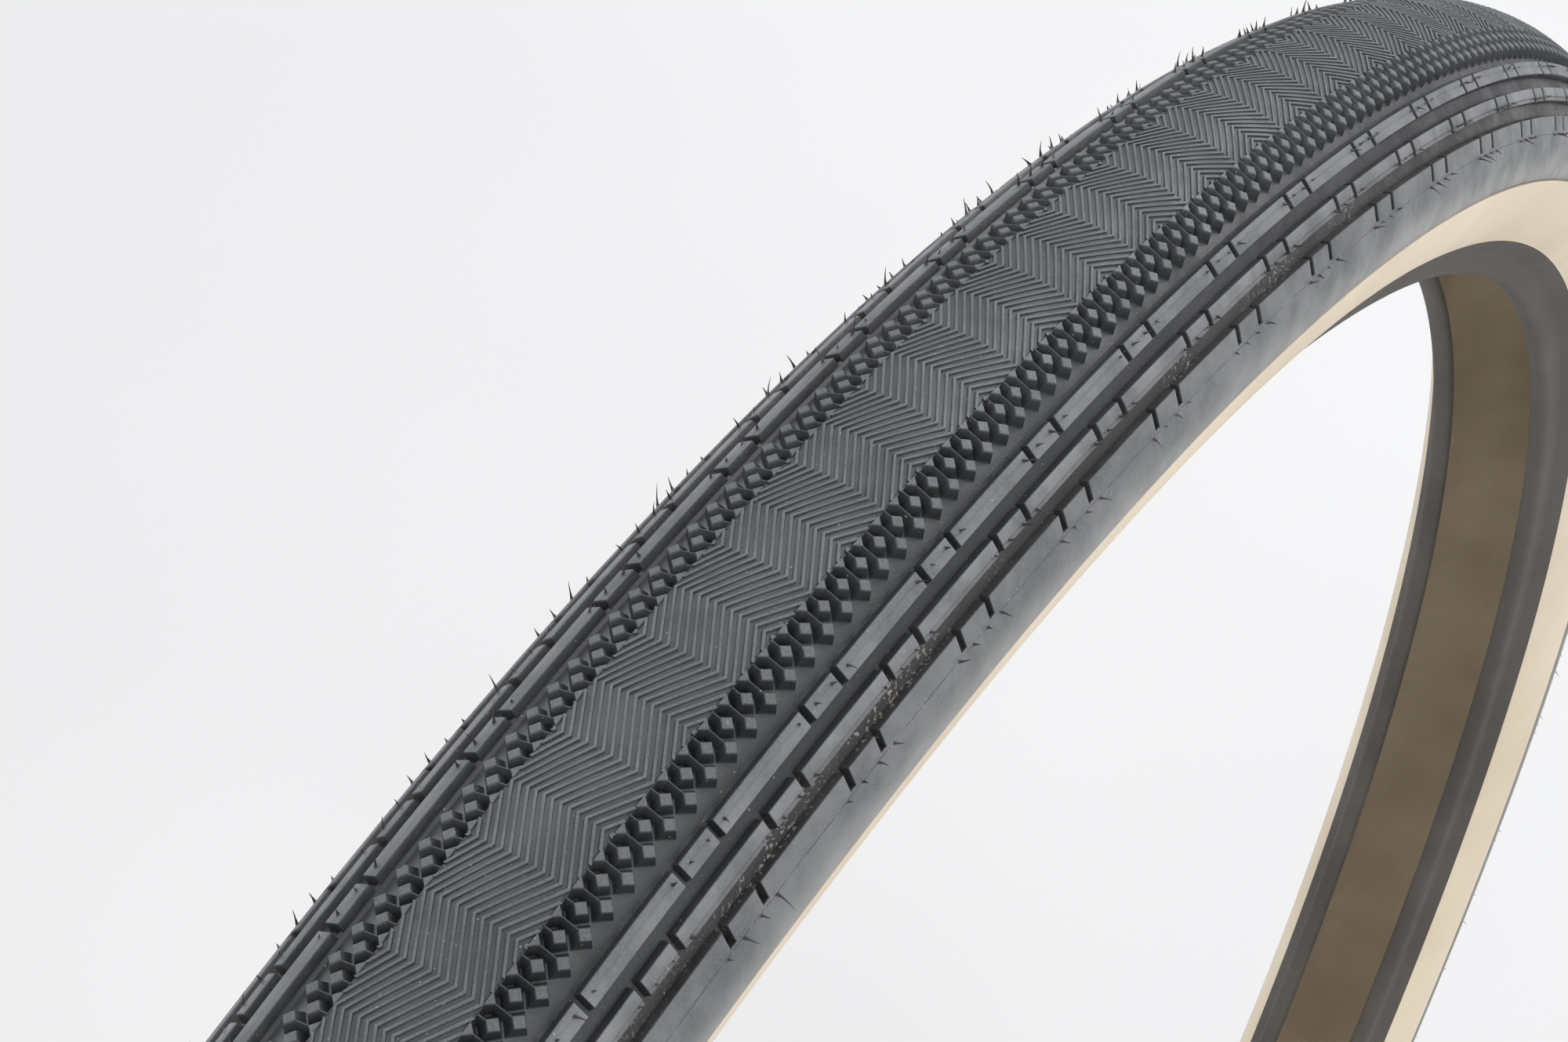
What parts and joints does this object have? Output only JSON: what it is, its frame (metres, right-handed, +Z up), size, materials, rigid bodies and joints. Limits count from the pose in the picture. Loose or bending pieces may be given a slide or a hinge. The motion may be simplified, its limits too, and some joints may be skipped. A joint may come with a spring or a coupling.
{
  "type": "bicycle tire",
  "caption": "Road and trekking bicycle tire with a herringbone centre band, diamond rows and notched shoulder ribs in black rubber over tan sidewalls.",
  "frame": {"origin": "wheel centre, on the wheel axis in the tire's middle plane", "axes": "+Y along the wheel axis, +Z up as the wheel stands, +X along the ground; the tire is symmetric about Y"},
  "size_m": [0.698, 0.0392, 0.698],
  "materials": {
    "tread": "matte black rubber with a faint blue-green grey cast",
    "sidewall": "smooth satin tan rubber skin",
    "casing": "rubbered nylon cord ply",
    "belt": "woven puncture belt in rubber",
    "chafer": "woven strip in dark rubber",
    "bead": "drawn steel wire"
  },
  "bodies": {
    "root": {"tread": "tread", "puncture_belt": "belt", "casing_ply": "casing", "casing_turnup_right": "casing", "casing_turnup_left": "casing", "sidewall_right": "sidewall", "sidewall_left": "sidewall", "bead_chafer_right": "chafer", "bead_chafer_left": "chafer", "bead_core_right": "bead", "bead_core_left": "bead"}
  },
  "joints": []
}
